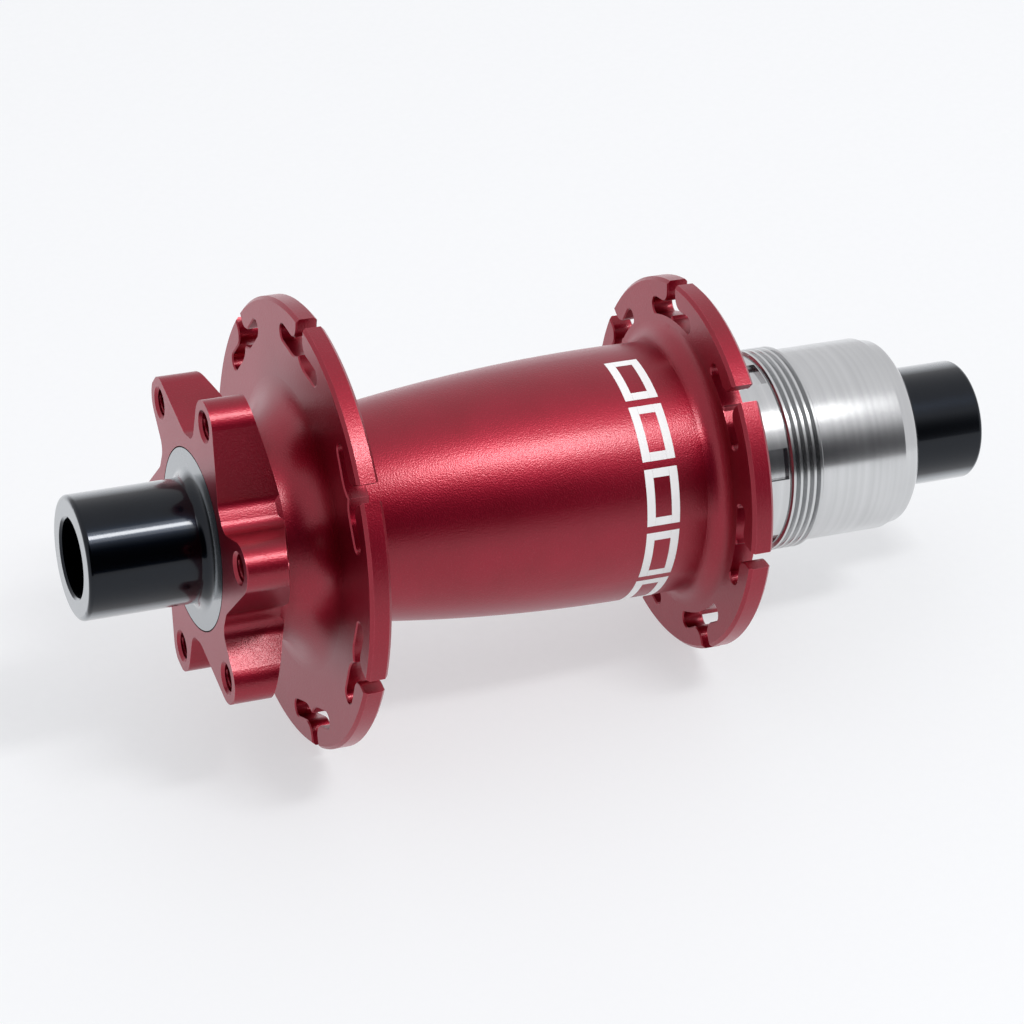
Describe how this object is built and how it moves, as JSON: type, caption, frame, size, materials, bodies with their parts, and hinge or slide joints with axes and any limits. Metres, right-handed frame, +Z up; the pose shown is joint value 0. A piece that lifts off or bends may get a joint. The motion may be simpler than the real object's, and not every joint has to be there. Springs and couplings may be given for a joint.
{
  "type": "rear bicycle hub",
  "caption": "Rear thru-axle bicycle hub: red slotted-flange shell with a six-bolt brake mount, black end caps and a steel splined and threaded cassette driver.",
  "frame": {"origin": "on the hub axis, midway between the two end-cap faces", "axes": "+Y along the hub axis towards the brake side, +Z up, +X forward"},
  "size_m": [0.0692, 0.148, 0.0692],
  "materials": {
    "red_anodised": "satin red anodised over fine bead blasting",
    "black_anodised": "gloss black anodised",
    "turned_steel": "turned and lightly polished",
    "axle_alloy": "machined",
    "bearing_steel": "ground and polished",
    "tool_steel": "hardened, dark",
    "nitrile": "matt black",
    "cage_nylon": "moulded",
    "spring_steel": "blued strip"
  },
  "bodies": {
    "axle_set": {"axle": "axle_alloy", "left_end_cap": "black_anodised", "right_end_cap": "black_anodised", "left_cap_o_ring": "nitrile", "right_cap_o_ring": "nitrile", "inner_race_sleeve": "axle_alloy", "ratchet_sleeve": "axle_alloy", "left_bearing_inner_race": "bearing_steel", "right_bearing_inner_race": "bearing_steel", "driver_inner_bearing_inner_race": "bearing_steel", "driver_outer_bearing_inner_race": "bearing_steel"},
    "shell_set": {"hub_shell": "red_anodised", "ratchet_ring": "tool_steel", "driver_seal": "nitrile", "left_bearing_outer_race": "bearing_steel", "left_bearing_seals": "nitrile", "right_bearing_outer_race": "bearing_steel", "right_bearing_seals": "nitrile"},
    "driver_set": {"driver_body": "turned_steel", "outer_race_sleeve": "axle_alloy", "driver_circlip": "spring_steel", "pawl_springs": "spring_steel", "driver_inner_bearing_outer_race": "bearing_steel", "driver_inner_bearing_seals": "nitrile", "driver_outer_bearing_outer_race": "bearing_steel", "driver_outer_bearing_seals": "nitrile"},
    "pawl_1_set": {"pawl_1": "tool_steel"},
    "pawl_2_set": {"pawl_2": "tool_steel"},
    "pawl_3_set": {"pawl_3": "tool_steel"},
    "left_bearing_cage_set": {"left_bearing_cage": "cage_nylon", "left_bearing_balls": "bearing_steel"},
    "right_bearing_cage_set": {"right_bearing_cage": "cage_nylon", "right_bearing_balls": "bearing_steel"},
    "driver_inner_bearing_cage_set": {"driver_inner_bearing_cage": "cage_nylon", "driver_inner_bearing_balls": "bearing_steel"},
    "driver_outer_bearing_cage_set": {"driver_outer_bearing_cage": "cage_nylon", "driver_outer_bearing_balls": "bearing_steel"}
  },
  "joints": [
    {"name": "shell_spin", "type": "hinge", "parent": "axle_set", "child": "shell_set", "pos_m": [0, 0, 0], "axis": [0, 1, 0], "continuous": true},
    {"name": "driver_spin", "type": "hinge", "parent": "axle_set", "child": "driver_set", "pos_m": [0, 0, 0], "axis": [0, 1, 0], "continuous": true},
    {"name": "pawl_1_swing", "type": "hinge", "parent": "driver_set", "child": "pawl_1_set", "pos_m": [0.01072, -0.0205, 0.00516], "axis": [0, 1, 0], "range_deg": [-9, 0], "stiffness_Nm_per_rad": 0.0003, "springref_deg": -9},
    {"name": "pawl_2_swing", "type": "hinge", "parent": "driver_set", "child": "pawl_2_set", "pos_m": [-0.00983, -0.0205, 0.00671], "axis": [0, 1, 0], "range_deg": [-9, 0], "stiffness_Nm_per_rad": 0.0003, "springref_deg": -9},
    {"name": "pawl_3_swing", "type": "hinge", "parent": "driver_set", "child": "pawl_3_set", "pos_m": [-0.00089, -0.0205, -0.01187], "axis": [0, 1, 0], "range_deg": [-9, 0], "stiffness_Nm_per_rad": 0.0003, "springref_deg": -9},
    {"name": "left_bearing_cage_spin", "type": "hinge", "parent": "axle_set", "child": "left_bearing_cage_set", "pos_m": [0, 0, 0], "axis": [0, 1, 0], "continuous": true},
    {"name": "right_bearing_cage_spin", "type": "hinge", "parent": "axle_set", "child": "right_bearing_cage_set", "pos_m": [0, 0, 0], "axis": [0, 1, 0], "continuous": true},
    {"name": "driver_inner_bearing_cage_spin", "type": "hinge", "parent": "axle_set", "child": "driver_inner_bearing_cage_set", "pos_m": [0, 0, 0], "axis": [0, 1, 0], "continuous": true},
    {"name": "driver_outer_bearing_cage_spin", "type": "hinge", "parent": "axle_set", "child": "driver_outer_bearing_cage_set", "pos_m": [0, 0, 0], "axis": [0, 1, 0], "continuous": true}
  ],
  "couplings": [
    {"joint": "left_bearing_cage_spin", "follows": "shell_spin", "ratio": 0.5814},
    {"joint": "right_bearing_cage_spin", "follows": "shell_spin", "ratio": 0.5745},
    {"joint": "driver_inner_bearing_cage_spin", "follows": "driver_spin", "ratio": 0.5558},
    {"joint": "driver_outer_bearing_cage_spin", "follows": "driver_spin", "ratio": 0.5558}
  ]
}
